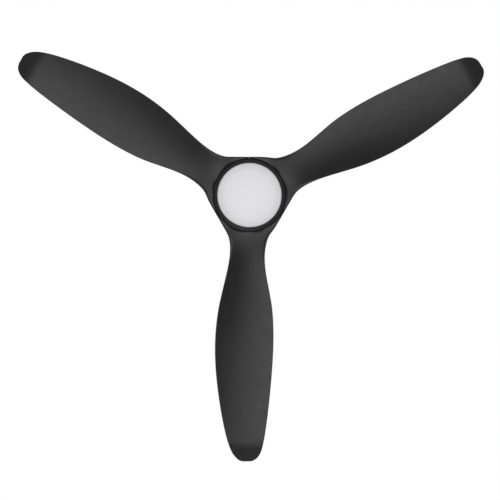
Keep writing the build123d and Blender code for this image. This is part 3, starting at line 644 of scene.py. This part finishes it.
def bezel_outline(angle):
    """The bezel's section. Its inner ledge is left out where the lugs pass it."""
    away = min(abs((angle - lug - GAP_TURN + 180) % 360 - 180) for lug in LUG_ANGLES)
    ledge = GAP_R if away < GAP_HALF else LEDGE_IN
    return rounded([
        (BEZEL_IN, BEZEL_TOP, 0.4), (BEZEL_R, BEZEL_TOP, 0.8), (BEZEL_R, BEZEL_EDGE, 1.2),
        (LIP_OUT, BEZEL_LOW, 0.5), (LIP_IN, LIP_LOW, 0.3), (LIP_IN, LEDGE_LOW, 0.2),
        (ledge, LEDGE_LOW, 0.2), (ledge, LEDGE_TOP, 0.2), (BEZEL_IN, LEDGE_TOP, 0.2)])


make_diffuser()
bezel = finish_mesh("bezel_ring", *turned(bezel_outline), materials["black_abs"],
                    "hanging", "black_abs")
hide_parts("light_bezel")


# ---- motor housing, rod cover and canopy --------------------------------------------

# Millimetres. Each shell's outline goes down its outside and back up its inside.
HOUSING_R, HOUSING_TOP, HOUSING_LOW, HOUSING_MOUTH = 93.0, -165.0, -236.0, 67.0
HOUSING_IN, ROOF_LOW = 91.2, -166.8
CROWN_R, CROWN_IN, SHOULDER, SHOULDER_IN = 86.0, 84.8, -185.0, -185.5
GROOVE_R, GROOVE_TOP, GROOVE_LOW, GROOVE_SLANT = 92.5, -233.4, -234.8, 0.5
CANOPY_R, CANOPY_TOP, CANOPY_LOW, CANOPY_MOUTH = 75.0, -0.5, -68.0, 26.0
CANOPY_IN, CANOPY_FLOOR = 73.2, -66.2
BELL_R = (10.0, 21.5, 28.5, 33.0, 39.0, 45.5)
BELL_Z = (-112, -115.5, -126, -142, -156, -162.8)
BELL_WALL, BELL_MOUTH, BELL_LOW, BELL_STEPS = 1.26, 11.6, -162.7, 60

housing = lathe("housing_shell", rounded([
    (HOUSING_MOUTH, HOUSING_TOP, 0.4), (CROWN_R, HOUSING_TOP, 9.0), (HOUSING_R, SHOULDER, 12.0),
    (HOUSING_R, GROOVE_TOP, 0.4), (GROOVE_R, GROOVE_TOP - GROOVE_SLANT, 0.3),
    (GROOVE_R, GROOVE_LOW + GROOVE_SLANT, 0.3), (HOUSING_R, GROOVE_LOW, 0.3),
    (HOUSING_R, HOUSING_LOW, 0.6), (HOUSING_IN, HOUSING_LOW, 0.4),
    (HOUSING_IN, SHOULDER_IN, 11.0), (CROWN_IN, ROOF_LOW, 8.0), (HOUSING_MOUTH, ROOF_LOW, 0.4)],
    steps=12), materials["black_paint"], "hanging", "black_paint")
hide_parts("motor_housing")

canopy = lathe("canopy_shell", rounded([
    (CANOPY_R, CANOPY_TOP, 0.5), (CANOPY_R, CANOPY_LOW, 22.0), (CANOPY_MOUTH, CANOPY_LOW, 0.8),
    (CANOPY_MOUTH, CANOPY_FLOOR, 0.5), (CANOPY_IN, CANOPY_FLOOR, 20.2),
    (CANOPY_IN, CANOPY_TOP, 0.5)], steps=20),
    materials["black_paint"], "ceiling", "black_paint")
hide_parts("canopy")

bell_r, bell_z = smooth_curve(range(len(BELL_R)), BELL_R), smooth_curve(range(len(BELL_Z)), BELL_Z)
bell = [(float(bell_r(s)), float(bell_z(s))) for s in np.linspace(0, len(BELL_R) - 1, BELL_STEPS)]
bell_outside = [(r, z) for r, z in bell if r > BELL_MOUTH]
bell_inside = [(r - BELL_WALL, max(z - BELL_WALL, BELL_LOW)) for r, z in reversed(bell_outside)]
cover = lathe("rod_cover_bell", bell_outside + bell_inside, materials["black_paint"],
              "rod_cover", "black_paint", sharp=60)
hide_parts("coupling_cover")


# ---- camera, light and floor --------------------------------------------------------

BLADE_PLANE = -0.258            # metres, as all the numbers from here on
VIEW_WIDTH = 1.2355             # what the camera sees of the blade plane
VIEW_CENTRE = (-0.0012, -0.1352)
DISTANCE = 8.0
SENSOR = 36.0                   # millimetres
FLOOR_Z = BLADE_PLANE - DISTANCE - 1.0
FLOOR_R = 3
UNDER_LIGHT = {"place": (0.0, 0.0, FLOOR_Z + 0.05), "target": (0.0, 0.0, 0.0),
               "size": 5.6, "power": 102.0}
LOW_FILL = {"place": (1.0, -3.2, -1.6), "target": (0.0, 0.0, -0.25), "size": 2.4, "power": 10.0}
# How bright the world shines, from straight below (0) to straight above (1).
WORLD_STRENGTH = 1.15
WORLD_STOPS = ((0.0, 1.25), (0.067, 1.15), (0.146, 0.75), (0.213, 0.34), (0.29, 0.11),
               (0.42, 0.1), (0.5, 0.3), (1.0, 0.9))


def make_camera():
    """A long lens below the fan that looks straight up."""
    data = bpy.data.cameras.new("camera")
    data.sensor_width = SENSOR
    data.lens = SENSOR * DISTANCE / VIEW_WIDTH
    data.clip_end = 100.0
    camera = bpy.data.objects.new("camera", data)
    camera.location = (*VIEW_CENTRE, BLADE_PLANE - DISTANCE)
    camera.rotation_euler = (0.0, math.pi, 0.0)
    bpy.context.collection.objects.link(camera)
    bpy.context.scene.camera = camera


def soft_light(name, place, target, size, power):
    """A round soft light that faces its target and isn't seen itself."""
    data = bpy.data.lights.new(name, "AREA")
    data.shape = "DISK"
    data.size = size
    data.energy = power
    light = bpy.data.objects.new(name, data)
    light.location = place
    aim = Vector(target) - Vector(place)
    light.rotation_euler = aim.to_track_quat("-Z", "Y").to_euler()
    light.visible_camera = False
    bpy.context.collection.objects.link(light)


def make_floor():
    """A round pale floor below the camera."""
    verts = [(FLOOR_R * math.cos(a), FLOOR_R * math.sin(a), FLOOR_Z)
             for a in np.linspace(0, 2 * math.pi, 96, endpoint=False)]
    mesh = bpy.data.meshes.new("floor")
    mesh.from_pydata(verts, [], [tuple(range(len(verts)))])
    paint = Paint("floor_paint")
    paint.color(paint.noise(2.0), [(0.3, grey(0.78)), (0.7, grey(0.82))])
    paint.roughness(paint.noise(5.0), 0.8, 0.9)
    mesh.materials.append(paint.material)
    floor = bpy.data.objects.new("floor", mesh)
    bpy.context.collection.objects.link(floor)


def make_world():
    """White to look at. As a light it is brightest straight below and above."""
    world = bpy.data.worlds.new("studio")
    bpy.context.scene.world = world
    world.use_nodes = True
    tree = world.node_tree
    tree.nodes.clear()
    kinds = ("TexCoord", "SeparateXYZ", "MapRange", "ValToRGB", "LightPath", "Background",
             "Background", "MixShader", "OutputWorld")
    place, split, height, ramp, rays, seen, shining, mix, out = (
        tree.nodes.new("ShaderNode" + kind) for kind in kinds)
    height.inputs["From Min"].default_value = -1.0
    fill_ramp(ramp, [(spot, (value, value, value)) for spot, value in WORLD_STOPS])
    seen.inputs["Color"].default_value = (1.0, 1.0, 1.0, 1.0)
    seen.inputs["Strength"].default_value = 1.0
    shining.inputs["Strength"].default_value = WORLD_STRENGTH
    for start, end in (
            (place.outputs["Generated"], split.inputs[0]),
            (split.outputs["Z"], height.inputs["Value"]),
            (height.outputs["Result"], ramp.inputs["Fac"]),
            (ramp.outputs["Color"], shining.inputs["Color"]),
            (rays.outputs["Is Camera Ray"], mix.inputs["Fac"]),
            (shining.outputs["Background"], mix.inputs[1]),
            (seen.outputs["Background"], mix.inputs[2]),
            (mix.outputs["Shader"], out.inputs["Surface"])):
        tree.links.new(start, end)


make_camera()
soft_light("under_light", **UNDER_LIGHT)
soft_light("low_fill", **LOW_FILL)
make_floor()
make_world()
bpy.context.scene.view_settings.view_transform = "Standard"
